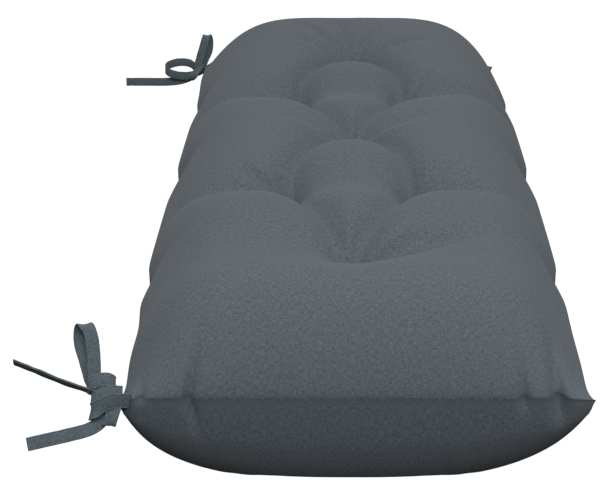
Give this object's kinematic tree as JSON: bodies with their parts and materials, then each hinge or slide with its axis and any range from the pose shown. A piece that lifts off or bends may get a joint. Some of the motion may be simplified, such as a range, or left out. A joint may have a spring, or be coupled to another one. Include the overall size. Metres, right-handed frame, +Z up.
{
  "type": "bench cushion",
  "caption": "Plump tufted bench cushion of plain woven cloth, with two cloth ties knotted at the corners of one long side.",
  "frame": {"origin": "centre of the flat underside, on the surface that the cushion lies on", "axes": "+X across the width, with the ties at -X; +Y along the length; +Z up"},
  "size_m": [0.682, 1.2531, 0.228],
  "materials": {
    "cover": "matt plain weave of slate grey yarn with fine lighter and darker threads",
    "tie": "matt plain weave, folded and stitched flat"
  },
  "bodies": {
    "root": {"cushion": "cover", "tie_near": "tie", "tie_far": "tie"}
  },
  "joints": []
}
